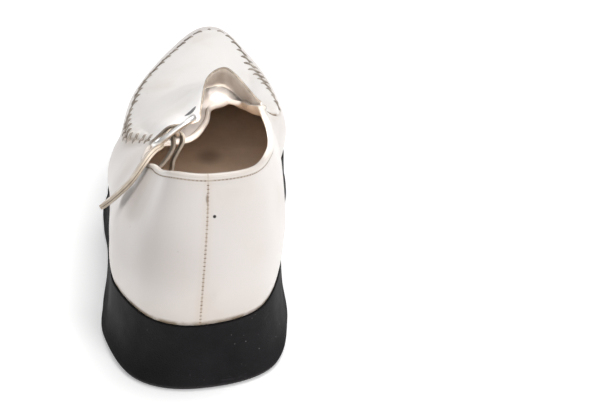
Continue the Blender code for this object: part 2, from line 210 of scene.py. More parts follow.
def stacked(rings):
    """A solid of rings laid on one another, shut by strips from side to side."""
    count, top = len(rings[0]), (len(rings) - 1) * len(rings[0])
    faces = []
    for low in range(0, top, count):
        high = low + count
        faces += [(low + i, high + i, high + (i + 1) % count, low + (i + 1) % count)
                  for i in range(count)]
    for i in range(count // 2):
        ring = list(dict.fromkeys((i, i + 1, count - i - 1, (count - i) % count)))
        faces += [tuple(ring), tuple(top + k for k in reversed(ring))]
    return np.concatenate(rings), faces


def turns(sides):
    """Angles round a section, with the first side centred on the start."""
    return np.arange(sides) * 2 * pi / sides + pi / sides


def boxy(turn, square):
    """Cosine and sine of a round section. A higher square makes it boxier."""
    power = 2.0 / square
    return [np.sign(wave) * np.abs(wave) ** power for wave in (np.cos(turn), np.sin(turn))]


def tube(path, width, height, across, sides=8, closed=False, square=2.0):
    """Rings of a stick along a path, with its two ends shut."""
    path = np.asarray(path, float)
    count = len(path)
    if closed:
        along = unit(np.roll(path, -1, 0) - np.roll(path, 1, 0))
    else:
        along = unit(np.gradient(path, axis=0))
    across = np.broadcast_to(np.asarray(across, float), path.shape)
    side = unit(across - along * (across * along).sum(-1, keepdims=True))
    up = np.cross(along, side)
    wide, tall = boxy(turns(sides), square)
    width = np.broadcast_to(np.asarray(width, float), (count,))[:, None, None] / 2
    height = np.broadcast_to(np.asarray(height, float), (count,))[:, None, None] / 2
    points = (path[:, None] + side[:, None] * wide[None, :, None] * width
              + up[:, None] * tall[None, :, None] * height)
    faces = sheet_faces(count, sides, closed)[:, ::-1].tolist()
    if not closed:
        faces.append(tuple(reversed(range(sides))))
        faces.append(tuple((count - 1) * sides + k for k in range(sides)))
    return points.reshape(-1, 3), faces


def joined(parts):
    """Many small shapes as one list of points and faces."""
    points, faces, start = [], [], 0
    for some, quads in parts:
        points.append(some)
        faces += [tuple(start + k for k in quad) for quad in quads]
        start += len(some)
    return np.concatenate(points), faces


def laid_on(names, points, normals, clearance):
    """Points dropped along their normals onto finished pieces, then lifted a little."""
    corners, faces = [], []
    for name in names:
        mesh, start = made[name].data, len(corners)
        corners += [v.co.copy() for v in mesh.vertices]
        faces += [[start + k for k in face.vertices] for face in mesh.polygons]
    tree = BVHTree.FromPolygons(corners, faces)
    result = []
    for point, normal in zip(points, normals):
        hit = tree.ray_cast(Vector(point + normal * 8) * MM, -Vector(normal), 0.02)[0]
        result.append(point if hit is None else np.array(hit) / MM)
    return np.array(result) + normals * np.reshape(clearance, (-1, 1))


# %% [markdown]
# ## Materials
# Smooth white leather gets its look from what has happened to it: yellowed patches,
# grey scuffs, fine pores and a gloss that changes from place to place. The nodes
# below build that from a few noises. Where wear and painted shade follow a seam or an
# edge, the mesh carries the distance to it as an attribute. Some spots of painted shade
# and shadow sit in the same colour.

# %% Node helpers
class Nodes:
    """Short names for the nodes of one material."""

    def __init__(self, name, rough, metallic=0.0):
        self.material = bpy.data.materials.new(name)
        self.material.use_nodes = True
        self.tree = self.material.node_tree
        self.shader = self.tree.nodes["Principled BSDF"]
        self.shader.inputs["Roughness"].default_value = rough
        self.shader.inputs["Metallic"].default_value = metallic
        self.place = self.tree.nodes.new("ShaderNodeTexCoord").outputs["Object"]
        self.bumps = None

    def put(self, socket, value):
        if isinstance(value, bpy.types.NodeSocket):
            self.tree.links.new(value, socket)
        elif isinstance(value, (tuple, list)) and len(value) == 3 and socket.type == "RGBA":
            socket.default_value = (*value, 1)
        else:
            socket.default_value = value

    def noise(self, scale, detail=3.0, stretch=(1, 1, 1), rough=0.5):
        mapping = self.tree.nodes.new("ShaderNodeMapping")
        mapping.inputs["Scale"].default_value = stretch
        self.put(mapping.inputs["Vector"], self.place)
        node = self.tree.nodes.new("ShaderNodeTexNoise")
        self.put(node.inputs["Vector"], mapping.outputs[0])
        node.inputs["Scale"].default_value = scale
        node.inputs["Detail"].default_value = detail
        node.inputs["Roughness"].default_value = rough
        return node.outputs["Fac"]

    def cells(self, scale, feature="F1"):
        node = self.tree.nodes.new("ShaderNodeTexVoronoi")
        node.feature = feature
        self.put(node.inputs["Vector"], self.place)
        node.inputs["Scale"].default_value = scale
        return node.outputs["Distance"]

    def value(self, name):
        node = self.tree.nodes.new("ShaderNodeAttribute")
        node.attribute_name = name
        return node.outputs["Fac"]

    def ramp(self, value, low, high, start=0.0, end=1.0):
        node = self.tree.nodes.new("ShaderNodeMapRange")
        node.interpolation_type = "SMOOTHSTEP"
        for key, number in zip(("Value", "From Min", "From Max", "To Min", "To Max"),
                               (value, low, high, start, end)):
            self.put(node.inputs[key], number)
        return node.outputs[0]

    def maths(self, how, a, b=0.0):
        node = self.tree.nodes.new("ShaderNodeMath")
        node.operation = how
        self.put(node.inputs[0], a)
        self.put(node.inputs[1], b)
        return node.outputs[0]

    def times(self, a, b):
        return self.maths("MULTIPLY", a, b)

    def mix(self, share, a, b):
        node = self.tree.nodes.new("ShaderNodeMix")
        node.data_type = "RGBA"
        self.put(node.inputs["Factor"], share)
        self.put(node.inputs[6], a)
        self.put(node.inputs[7], b)
        return node.outputs[2]

    def spot(self, centre, inner, outer, squash=(1, 1, 1)):
        """1 near a place of the shoe, in mm, fading to 0 at the outer distance."""
        mapping = self.tree.nodes.new("ShaderNodeMapping")
        mapping.vector_type = "POINT"
        mapping.inputs["Scale"].default_value = [1000 / s for s in squash]
        mapping.inputs["Location"].default_value = [-c / s for c, s in zip(centre, squash)]
        self.put(mapping.inputs["Vector"], self.place)
        length = self.tree.nodes.new("ShaderNodeVectorMath")
        length.operation = "LENGTH"
        self.put(length.inputs[0], mapping.outputs[0])
        return self.ramp(length.outputs["Value"], inner, outer, 1.0, 0.0)

    def bump(self, height, strength, distance):
        node = self.tree.nodes.new("ShaderNodeBump")
        node.inputs["Strength"].default_value = strength
        node.inputs["Distance"].default_value = distance
        self.put(node.inputs["Height"], height)
        if self.bumps is not None:
            self.put(node.inputs["Normal"], self.bumps)
        self.bumps = node.outputs[0]

    def done(self, colour=None, rough=None, **sockets):
        if colour is not None:
            self.put(self.shader.inputs["Base Color"], colour)
        if rough is not None:
            self.put(self.shader.inputs["Roughness"], rough)
        if self.bumps is not None:
            self.put(self.shader.inputs["Normal"], self.bumps)
        for key, number in sockets.items():
            self.shader.inputs[key.replace("_", " ")].default_value = number
        return self.material


# %% White leather
# centre | full inside, gone outside | squash | strength | colour
SPOTS = [
    # painted shade: a black dot stands for a small hole by the back seam
    ((8.4, -33.7, 70.3), 0.45, 0.8, (1, 1, 1), 1.0, (0.01, 0.008, 0.006)),
    # soil on the inner quarter
    ((34.5, 62, 61), 1.0, 9, (0.5, 1, 0.8), 0.35, (0.50, 0.40, 0.30)),
    # painted shade: a black patch stands for the dark gap by the buckle's end
    ((-4.0, 53.5, 74.9), 3.4, 3.9, (0.85, 0.7, 0.85), 1.0, (0.012, 0.010, 0.010)),
    # a soft shade on the outer half of the heel
    ((-16, -35, 50), 2, 38, (1, 0.6, 0.6), 0.36, (0.47, 0.42, 0.39)),
    # painted shadow of the strap's tail on the quarter below it
    ((-28.4, 20, 52), 3.0, 6.5, (1, 1.2, 1), 0.9, (0.17, 0.11, 0.07)),
    # a mark on the back seam
    ((5.6, -32.9, 77.1), 0.6, 2.4, (0.3, 1, 1.1), 0.7, (0.22, 0.14, 0.09)),
]


def white_leather(name, fresh, wear_and_seam_shade):
    n = Nodes(name, 0.3)
    colour = n.mix(n.ramp(n.noise(16, 2), 0.3, 0.7), fresh, wear_and_seam_shade)
    colour = n.mix(n.ramp(n.noise(42, 3), 0.5, 0.8, 0, 0.3), colour, (0.66, 0.56, 0.47))
    scuffs = n.ramp(n.noise(75, 5, (1, 1, 0.3), 0.6), 0.66, 0.8, 0, 0.16)
    colour = n.mix(scuffs, colour, (0.45, 0.41, 0.37))
    specks = n.ramp(n.cells(190), 0.04, 0.09, 0.35, 0)
    specks = n.times(specks, n.ramp(n.noise(30, 2), 0.56, 0.64))
    colour = n.mix(specks, colour, (0.25, 0.18, 0.12))
    low = n.ramp(n.value("above_sole"), 0.3, 2.6, 0.95, 0)
    low = n.times(low, n.ramp(n.noise(130, 5), 0.38, 0.6, 0.15, 1))
    colour = n.mix(low, colour, (0.23, 0.155, 0.08))
    colour = n.mix(n.ramp(n.value("above_sole"), 1, 16, 0.22, 0), colour, (0.58, 0.50, 0.41))
    colour = n.mix(n.ramp(n.value("below_edge"), 0.2, 1.8, 0.35, 0), colour, (0.72, 0.64, 0.54))
    from_fold = n.maths("ABSOLUTE", n.maths("SUBTRACT", n.value("below_edge"), 1.7))
    colour = n.mix(n.ramp(from_fold, 0.1, 0.6, 0.6, 0), colour, (0.36, 0.27, 0.19))
    groove = n.ramp(n.value("from_seam"), 0.1, 0.5, 0.6, 0)
    groove = n.times(groove, n.ramp(n.noise(260, 2), 0.3, 0.6, 0.35, 1))
    colour = n.mix(groove, colour, (0.34, 0.23, 0.15))
    colour = n.mix(n.ramp(n.value("from_seam"), 0.4, 3.0, 0.2, 0), colour, (0.66, 0.54, 0.42))
    wear_and_seam_shade = n.value("seam_dirt_and_shade")
    # painted shade: a dark line along the apron's seam, mixed with dirt; along the inner edge it is
    # the shadow of the slit
    seam_line_dirt_and_shade = n.times(n.ramp(n.value("from_apron"), 0.2, 1.0, 0.8, 0), wear_and_seam_shade)
    seam_line_dirt_and_shade = n.times(seam_line_dirt_and_shade, n.ramp(n.noise(190, 3), 0.3, 0.6, 0.45, 1))
    colour = n.mix(seam_line_dirt_and_shade, colour, (0.26, 0.18, 0.11))
    grime = n.times(n.ramp(n.value("from_apron"), 0.8, 5.5, 0.3, 0), wear_and_seam_shade)
    colour = n.mix(grime, colour, (0.55, 0.46, 0.36))
    for centre, inner, outer, squash, strength, tint in SPOTS:
        colour = n.mix(n.times(n.spot(centre, inner, outer, squash), strength), colour, tint)
    rough = n.ramp(n.noise(45, 3), 0.3, 0.7, 0.3, 0.42)
    n.bump(n.noise(1100, 2), 0.1, 0.0002)
    n.bump(n.noise(26, 2), 0.2, 0.0008)
    return n.done(colour, rough, Coat_Weight=0.12, Coat_Roughness=0.2)


upper_leather = white_leather("upper_leather", (0.77, 0.72, 0.69), (0.72, 0.665, 0.63))
apron_leather = white_leather("apron_leather", (0.88, 0.85, 0.825), (0.84, 0.81, 0.785))


# %% Lining, edges and thread
def lining_leather():
    n = Nodes("lining_leather", 0.6)
    patches = n.ramp(n.noise(30, 5, rough=0.65), 0.35, 0.7)
    colour = n.mix(patches, (0.80, 0.64, 0.49), (0.62, 0.48, 0.355))
    dots = n.ramp(n.cells(420), 0.1, 0.24, 0.55, 0)
    colour = n.mix(dots, colour, (0.2, 0.15, 0.11))
    pale = n.ramp(n.noise(120, 3), 0.6, 0.72, 0, 0.3)
    colour = n.mix(pale, colour, (0.36, 0.30, 0.24))
    n.bump(n.noise(500, 3), 0.3, 0.0004)
    return n.done(colour, n.ramp(n.noise(60, 2), 0.3, 0.7, 0.45, 0.7))


def arch_lining():
    n = Nodes("arch_lining", 0.55)
    colour = n.mix(n.ramp(n.noise(40, 4), 0.3, 0.7), (0.57, 0.525, 0.48), (0.43, 0.39, 0.35))
    streaks = n.ramp(n.noise(55, 5, (5, 0.5, 1), 0.6), 0.45, 0.62, 0, 0.45)
    colour = n.mix(streaks, colour, (0.33, 0.28, 0.235))
    n.bump(n.noise(60, 4, (5, 0.5, 1)), 0.5, 0.0008)
    return n.done(colour, 0.5)


def cut_edge():
    n = Nodes("cut_edge", 0.6)
    colour = n.mix(n.ramp(n.noise(150, 4), 0.3, 0.7), (0.32, 0.27, 0.22), (0.19, 0.155, 0.12))
    n.bump(n.noise(700, 2), 0.3, 0.0003)
    return n.done(colour, 0.6)


def layered_edge():
    """The side of two layers of leather that are glued together."""
    n = Nodes("layered_edge", 0.6)
    colour = n.mix(n.ramp(n.noise(150, 4), 0.3, 0.7), (0.66, 0.58, 0.48), (0.50, 0.42, 0.33))
    joint = n.ramp(n.maths("ABSOLUTE", n.value("layer")), 0.06, 0.22, 0.85, 0)
    colour = n.mix(joint, colour, (0.16, 0.11, 0.08))
    corner = n.ramp(n.maths("ABSOLUTE", n.value("layer")), 0.75, 0.98, 0, 0.5)
    colour = n.mix(corner, colour, (0.25, 0.19, 0.14))
    n.bump(joint, -0.6, 0.0003)
    n.bump(n.noise(700, 2), 0.3, 0.0003)
    return n.done(colour, 0.6)


def thread(name, light, dark):
    n = Nodes(name, 0.65)
    colour = n.mix(n.ramp(n.noise(240, 3), 0.35, 0.65), light, dark)
    n.bump(n.noise(1600, 2, (1, 1, 3)), 0.5, 0.0002)
    return n.done(colour, 0.65)


lining = lining_leather()
under_arch = arch_lining()
edge_leather = cut_edge()
strap_edge = layered_edge()
whip_thread = thread("whip_thread", (0.40, 0.355, 0.31), (0.235, 0.20, 0.165))
fine_thread = thread("fine_thread", (0.44, 0.35, 0.26), (0.22, 0.15, 0.10))


# %% Rubber and metal
def black_rubber():
    n = Nodes("black_rubber", 0.75)
    patches = n.ramp(n.noise(50, 5, rough=0.7), 0.35, 0.7)
    colour = n.mix(patches, (0.0085, 0.0078, 0.0088), (0.013, 0.012, 0.0135))
    scratch = n.ramp(n.noise(70, 6, (0.25, 0.25, 2.2), 0.75), 0.58, 0.72, 0, 0.6)
    colour = n.mix(scratch, colour, (0.06, 0.055, 0.06))
    specks = n.ramp(n.cells(330), 0.05, 0.1, 0.8, 0)
    specks = n.times(specks, n.ramp(n.noise(40, 2), 0.5, 0.62))
    colour = n.mix(specks, colour, (0.18, 0.165, 0.165))
    # painted highlight: the rubber is lighter along its rounded edge above the floor, broken up by
    # noise
    rim = n.ramp(n.value("above_floor"), 0.4, 2.6, 0.6, 0)
    rim = n.times(rim, n.ramp(n.noise(90, 4), 0.35, 0.6, 0.4, 1))
    colour = n.mix(rim, colour, (0.055, 0.05, 0.052))
    n.bump(n.cells(1500), 0.35, 0.0004)
    n.bump(n.noise(160, 4), 0.2, 0.0004)
    rough = n.ramp(n.noise(30, 3), 0.3, 0.7, 0.62, 0.85)
    return n.done(colour, rough, Specular_IOR_Level=0.18)


def buckle_metal():
    n = Nodes("buckle_metal", 0.16, 1.0)
    colour = n.mix(n.ramp(n.noise(140, 4), 0.45, 0.75), (0.93, 0.92, 0.90), (0.80, 0.77, 0.73))
    n.bump(n.noise(500, 3, (1, 6, 1)), 0.05, 0.0002)
    return n.done(colour, n.ramp(n.noise(110, 3), 0.35, 0.7, 0.3, 0.42))


rubber = black_rubber()
metal = buckle_metal()
print("materials:", len(bpy.data.materials))

# %% [markdown]
# ## The apron's line
# The apron is the leaf-shaped plug on top. Its back edge stands free as an arch, and
# the rest of its outline is stitched down. The line of that seam is needed early,
# because dirt and painted shade lie along it on both pieces.

# %% Apron lines
APRON_GAP, APRON_THICK, LIFT_POWER = 0.45, 1.5, 1.7
# columns: seam_at seam | edge_at edge | leaves | ax ay az
APRON = np.array([
    (5.99, 0.46, 5.10, 0.96, 0.65, -19.4, 52.0, 61.2),    # outer corner
    (6.37, 0.44, 5.50, 1.00, 0.32, -15.9, 41.0, 68.8),    # strap side
    (6.67, 0.42, 5.80, 1.00, 0.27, -11.1, 32.8, 76.2),    # strap root
    (6.99, 0.40, 6.20, 1.00, 0.29, -4.6, 33.2, 77.3),     # strap top
    (7.38, 0.41, 6.70, 1.00, 0.35, 0.6, 37.0, 77.8),      # tab corner
    (7.85, 0.42, 7.30, 1.00, 0.44, 1.4, 49.0, 78.8),      # outer arch
    (8.72, 0.42, 8.40, 1.00, 0.56, 3.1, 68.5, 82.6),      # outer crest
    (10.00, 0.42, 10.00, 1.00, 0.74, 8.6, 76.0, 84.2),    # crest
    (11.00, 0.44, 11.00, 1.00, 0.71, 12.9, 75.0, 82.4),   # inner crest
    (12.10, 0.445, 12.30, 1.00, 0.92, 18.4, 70.5, 78.0),   # inner arch
    (12.70, 0.445, 13.40, 1.00, 0.95, 21.8, 67.5, 75.1),   # inner edge
    (13.10, 0.45, 14.30, 0.97, 0.92, 24.4, 66.8, 72.8),   # inner corner
])


APRON_END = len(APRON) - 1


def rounded(place, share):
    """Grid places with the two stitched corners of the apron made round."""
    for corner, turn, wide, deep in ((0, 1, 0.8, 0.16), (APRON_END, -1, 0.1, 0.2)):
        a = np.clip(1 - (place - corner) * turn / wide, 0, 1)
        b = np.clip(1 - share / deep, 0, 1)
        near = (a > 0) & (b > 0)
        place = np.where(near, corner + turn * wide * (1 - a * np.sqrt(1 - b * b / 2)), place)
        share = np.where(near, deep * (1 - b * np.sqrt(1 - a * a / 2)), share)
    return place, share


def apron_points(place, share):
    """Points on the apron's underside, along its outline and from seam to free edge."""
    place, share = rounded(*np.broadcast_arrays(place, share))
    row = smooth(APRON, place, False)
    edge = last(row[..., 2], row[..., 3])
    at = row[..., 0] + (row[..., 2] - row[..., 0]) * share
    height = row[..., 1] + (row[..., 3] - row[..., 1]) * share
    lift = np.clip((share - row[..., 4]) / (1 - row[..., 4]), 0, 1) ** LIFT_POWER
    return last(at, height) + (row[..., 5:8] - edge) * lift[..., None]


# %% The stitched outline
REAR_POINTS, SEAM_POINTS, INNER_POINTS = 120, 1500, 60
outline = np.concatenate([
    apron_points(0, np.linspace(0.8, 0, REAR_POINTS)),
    apron_points(np.linspace(0, APRON_END, SEAM_POINTS), 0)[1:],
    apron_points(APRON_END, np.linspace(0, 0.97, INNER_POINTS))[1:]])
outline_run = run_of(outline)
rear_length, seam_end = outline_run[[REAR_POINTS - 1, REAR_POINTS + SEAM_POINTS - 2]]
outline_tree = KDTree(len(outline))
for number, point in enumerate(outline):
    outline_tree.insert(point, number)
outline_tree.balance()


def from_outline(points):
    """How far points are from the stitched outline, and how far along it they lie."""
    found = [outline_tree.find(point) for point in points.reshape(-1, 3)]
    away = np.array([item[2] for item in found]).reshape(points.shape[:-1])
    run = outline_run[[item[1] for item in found]].reshape(points.shape[:-1])
    return away, run


def near_corner(run):
    """1 at the outer back corner of the seam, fading to 0 along it."""
    return np.exp(-((run - rear_length) / 20) ** 2)


def seam_dirt_and_shade_amount(run):
    """Dirt and painted shade along the seam: most at the outer back corner; along the inner edge it
    is painted shade of the slit.
    """
    corner = near_corner(run)
    inner = np.clip((run - seam_end) / 1.5, 0, 1)
    return np.clip(0.12 + 0.9 * corner + 0.6 * inner, 0, 1)


print("rear edge", round(rear_length), "mm, seam", round(seam_end - rear_length),
      "mm, inner edge", round(outline_run[-1] - seam_end), "mm")

# %% [markdown]
# ## The sole
# The sole is one moulded block of cellular rubber: flat from heel to ball, curling up
# at the toe, wider at the floor than at the upper. Rings of points are stacked from
# the tread to the ledge, so that the edge above the floor and the top edge are round.

# %% Sole
SOLE_STEPS = 14
LEDGE = 0.8     # the top of the sole stands out past the upper by this
# step out | height above the tread | share of the wall's height
# Rows without a share step out from the full flare, in mm. In the rows above them the
# step says how much of the way from the flare back to the ledge is done.
WALL = [(-2.9, 0.0, 0.0), (-1.5, 0.12, 0.0), (-0.6, 0.7, 0.0), (0.0, 2.0, 0.0), (-0.3, 2.0, 0.08),
        (-0.62, 2.0, 0.22), (-0.83, 1.0, 0.5), (-0.96, 0.6, 0.75), (-1.0, 0.0, 0.93)]


def build_sole():
    at = np.arange(ROUND * SOLE_STEPS) / SOLE_STEPS
    plan, away = feather(at), outward(at)
    flare = smooth(SECTIONS[:, 9:], at, True)
    wall = plan[:, 2] - toe_spring(plan[:, 1])
    rings = []
    for step, lift, share in WALL:
        ring = plan + away * (flare + (step if share == 0 else (LEDGE - flare) * -step))
        rings.append(at_height(ring, toe_spring(ring[:, 1]) + lift + share * (wall - lift)))
    for inset, drop in ((0.15, 0.25), (0.7, 0.0)):
        rings.append(at_height(plan + away * (LEDGE - inset), plan[:, 2] - drop))
    points, faces = stacked(rings)
    floor_height = points[:, 2] - toe_spring(points[:, 1])
    sole = piece("sole_rubber", points, faces, [rubber], values={"above_floor": floor_height},
                 node="sole", slot="black_rubber")
    sole.data.set_sharp_from_angle(angle=radians(38))


build_sole()

# %% [markdown]
# ## The upper
# Sides, quarters and vamp are one shell of leather with a lining. Each column of the
# grid goes up the outside, over a rounded top edge and down the inside. Soft troughs
# and swells that use has left are added one by one, each a line between two places with
# a width and a depth. The top edge is a turned binding, so it stands a little proud.

# %% Creases and swells of the upper
# x y z of both ends | width | depth, all in mm; a negative depth is a swell
UPPER_MARKS = [
    (33, 66, 66, 35, 72, 50, 3.2, 0.55), (34, 58, 63, 35, 56, 50, 4.0, -0.5),
    (-36, 60, 48, -36, 84, 40, 5.0, 0.5), (-37, 74, 52, -40, 96, 42, 4.5, -0.4),
    (-30, 26, 60, -35, 44, 46, 6.0, 0.5), (-14, -34, 62, -27, -20, 46, 9.0, 0.4),
    (16, -33, 66, 26, -24, 50, 8.0, -0.4), (34, 96, 60, 36, 104, 44, 4.0, 0.4),
]


def marked(grid, normals, marks):
    """The grid pushed along its normals by soft troughs and swells."""
    push = np.zeros(grid.shape[:2])
    for ax, ay, az, bx, by, bz, width, depth in marks:
        a, run = np.array((ax, ay, az)), np.array((bx - ax, by - ay, bz - az))
        share = np.clip(((grid - a) @ run) / (run @ run), 0, 1)
        away = np.linalg.norm(grid - a - share[..., None] * run, axis=-1)
        push -= depth * np.exp(-(away / width) ** 2)
    return grid + normals * push[..., None]


# %% Upper
LEATHER = 2.0
UPPER_STEPS, UPPER_RISE = 14, 46     # columns to a section, points up a column


def build_upper():
    # extra columns beside the back seam, where dirt needs a fine mesh
    seam = np.array([0.004, 0.009, 0.016, 0.028, 0.045])
    even = np.arange(ROUND * UPPER_STEPS) / UPPER_STEPS
    at = np.unique(np.concatenate([even, seam, ROUND - seam]))
    share = 1 - (1 - np.linspace(0, 1, UPPER_RISE)) ** 1.35
    base = last(at[:, None], share[None, :])
    normals = grid_normals(base, True)
    outer = marked(base, normals, UPPER_MARKS)
    length = np.linalg.norm(np.diff(outer, axis=1), axis=2)
    start = np.zeros((len(at), 1))
    below = np.concatenate([np.cumsum(length[:, ::-1], 1)[:, ::-1], start], 1)
    above = np.concatenate([start, np.cumsum(length, 1)], 1)
    roll = 0.35 * np.exp(-((below - 0.7) / 0.8) ** 4)
    roll = roll - 0.22 * np.exp(-((below - 1.8) / 0.4) ** 2)
    ridge, run = from_outline(outer)
    seam_height = np.interp(at, APRON[:, 0], APRON[:, 1], left=2, right=2)
    beyond = np.where(share[None, :] > seam_height[:, None], -ridge, ridge)
    outer = outer + normals * (roll + 1.1 * np.exp(-((beyond - 1.3) / 1.5) ** 2))[..., None]
    inner = base - normals * LEATHER
    inner[:, 0, 2] = outer[:, 0, 2]
    middle = (outer[:, -1] + inner[:, -1]) / 2
    half = np.linalg.norm(outer[:, -1] - inner[:, -1], axis=1, keepdims=True) / 2
    rise = unit(outer[:, -1] - outer[:, -3])
    rim = [middle + half * (normals[:, -1] * cos(a) + 0.7 * rise * sin(a))
           for a in (pi * 0.2, pi * 0.4, pi * 0.6, pi * 0.8)]
    grid = np.concatenate([outer, np.stack(rim, 1), inner[:, ::-1]], 1)
    around = grid.shape[1]
    faces = sheet_faces(len(at), around, True)
    column = np.tile(np.arange(around), len(at))
    slots = np.where(column < UPPER_RISE + 3, 0, 1)
    zero = np.zeros((len(at), len(rim)))
    sections_off = np.abs((at + ROUND / 2) % ROUND - ROUND / 2)
    from_seam = sections_off[:, None] * 20.0 + np.zeros_like(grid[..., 0])
    from_apron = np.full(grid.shape[:2], 50.0)
    from_apron[:, :UPPER_RISE] = ridge
    seam_dirt_and_shade = np.zeros(grid.shape[:2])
    seam_dirt_and_shade[:, :UPPER_RISE] = seam_dirt_and_shade_amount(run)
    values = {"above_sole": np.concatenate([above, zero + 60, above[:, ::-1] + 60], 1),
              "below_edge": np.concatenate([below, zero, below[:, ::-1]], 1),
              "from_seam": from_seam, "from_apron": from_apron, "seam_dirt_and_shade": seam_dirt_and_shade}
    piece("upper_leather", grid.reshape(-1, 3), faces.tolist(),
          [upper_leather, lining, edge_leather], slots, values, node="upper")


build_upper()

# %% [markdown]
# ## The apron
# The needle has pulled the edge of the apron into small puckers, one for each stitch.
# They are longest at the outer back corner, where the seam turns sharply. The free
# edge of the arch is folded leather with a lining, and shows its beige cut edge.

# %% Apron
STITCH_STEP = 6.9
APRON_MARKS = [
    (-22, 70, 60, -16, 52, 68, 5.0, 0.5), (-28, 92, 55, -20, 76, 62, 7.0, 0.4),
    (20, 96, 66, 24, 78, 74, 5.0, 0.3),
]


def build_apron():
    place = np.unique(np.concatenate([np.linspace(0, 1, 90), np.linspace(1, APRON_END, 401)]))
    rise = 48
    share = np.linspace(0, 1, rise) ** 1.3
    base = apron_points(place[:, None], share[None, :])
    normals = grid_normals(base, False)
    base = marked(base, normals, APRON_MARKS)
    away, run = from_outline(base)
    corner = near_corner(run)
    plain = np.clip((seam_end - run - 3) / 4, 0, 1) * np.clip((share[None, :] - 1) / -0.1, 0, 1)
    fold = np.cos(2 * pi * run / STITCH_STEP)
    pucker = plain * (0.13 + 0.25 * corner) * fold * np.exp(-(away / (2.6 + 3.2 * corner)) ** 2)
    swell = 0.2 * plain * np.exp(-((away - 3.0) / 2.2) ** 2)
    sink = 1.0 * np.exp(-(away / 1.3) ** 2)
    low = base + normals * (APRON_GAP - 0.35 * sink)[..., None]
    free = np.clip((share[None, :] - 0.82) / 0.18, 0, 1) ** 2 * 0.6
    high = base + normals * (APRON_GAP + APRON_THICK + pucker + swell - sink - free)[..., None]

    def rim(end, order):
        middle, arm = (high[:, end] + low[:, end]) / 2, (high[:, end] - low[:, end]) / 2
        out = unit(base[:, end] - base[:, 2 if end == 0 else -3])
        size = np.linalg.norm(arm, axis=1, keepdims=True)
        return np.stack([middle + arm * cos(a) * order + out * size * 0.8 * sin(a)
                         for a in (pi * 0.25, pi * 0.5, pi * 0.75)], 1)

    grid = np.concatenate([high, rim(-1, 1), low[:, ::-1], rim(0, -1)], 1)
    around = grid.shape[1]
    column = np.tile(np.arange(around), len(place) - 1)
    slots = np.where(column < rise - 1, 0, np.where(column < rise + 3, 2,
                     np.where(column < 2 * rise + 2, 1, 0)))
    faces, caps = sheet_faces(len(place), around, False).tolist(), []
    for start, turn in ((0, 1), ((len(place) - 1) * around, -1)):
        rungs = [(j, 2 * rise + 2 - j, 2 * rise + 1 - j, j + 1) for j in range(rise - 1)]
        rungs.append(tuple(range(rise + 3, rise - 2, -1)))
        rungs.append((0, around - 1, around - 2, around - 3, 2 * rise + 2))
        caps += [tuple(start + k for k in ring[::turn]) for ring in rungs]
    slots = np.concatenate([slots, np.zeros(len(caps))])
    zero = np.zeros((len(place), 3))
    seam_dirt_shade_share, far = seam_dirt_and_shade_amount(run), grid[..., 0] * 0 + 60
    values = {"from_apron": np.concatenate([away, zero + 9, away[:, ::-1] + 9, zero], 1),
              "seam_dirt_and_shade": np.concatenate([seam_dirt_shade_share, zero, seam_dirt_shade_share[:, ::-1], zero + seam_dirt_shade_share[:, :1]], 1),
              "above_sole": far, "below_edge": far, "from_seam": far}
    piece("apron_leather", grid.reshape(-1, 3), faces + caps,
          [apron_leather, under_arch, edge_leather], slots, values, node="apron")


build_apron()

# %% [markdown]
# ## The whip stitches
# One thick thread goes over and over the seam. Each visible stitch starts on the
# apron, crosses the edge and dives into the upper. All are one mesh. At its inner end
# the apron lies against the upper with a dark slit, which a short tack closes at the top.
# The slit's shade is painted: a thin dark tube lies in it.

# %% Whip stitches
WHIP_WIDTH = 1.3


def outline_frame(run, tree):
    """At a run along the outline: the point, and the ways along, inward and out of the
    upper's surface there."""
    def at(place):
        return np.array([np.interp(place, outline_run, outline[:, k]) for k in range(3)])

    here, along = at(run), unit(at(run + 0.6) - at(run - 0.6))
    normal = np.array(tree.find_nearest(Vector(here) * MM)[1])
    normal = unit(normal - along * (normal @ along))
    inward = np.cross(normal, along)
    middle = np.array([-2.0, 100.0, 60.0]) - here
    return here, along, inward * np.sign(inward @ middle), normal


def build_whip():
    rng = np.random.default_rng(7)
    mesh = made["upper_leather"].data
    tree = BVHTree.FromPolygons([v.co.copy() for v in mesh.vertices],
                                [list(face.vertices) for face in mesh.polygons])
    count = int((seam_end - 5) / STITCH_STEP)
    steps = np.linspace(-1, 1, 11)
    paths, normals, sides = [], [], []
    for number in range(count):
        here, along, inward, normal = outline_frame((number + 0.5) * STITCH_STEP, tree)
        inside, outside = 3.3 + rng.uniform(-0.4, 0.4), 2.4 + rng.uniform(-0.2, 0.2)
        slant = 1.5 * along[1] + rng.uniform(-0.25, 0.25)
        first = here + inward * inside + along * slant
        second = here - inward * outside + along * slant * 0.2
        for s in steps:
            paths.append(first * (1 - s) / 2 + second * (1 + s) / 2)
            normals.append(normal)
        sides.append(np.cross(normal, unit(second - first)))
    clearance = np.tile(0.3 - 1.1 * np.abs(steps) ** 10, count)
    points = laid_on(("apron_leather", "upper_leather"), np.array(paths), np.array(normals),
                     clearance)
    points = points.reshape(count, len(steps), 3)
    for _ in range(2):
        points[:, 1:-1] = points[:, 1:-1] * 0.5 + (points[:, :-2] + points[:, 2:]) * 0.25
    width = WHIP_WIDTH * (1 - 0.25 * steps ** 4)
    parts = [tube(path, width, width * 0.85, side, 8) for path, side in zip(points, sides)]
    piece("whip_stitches", *joined(parts), [whip_thread], slot="loop_leather")
    print(count, "whip stitches")


build_whip()


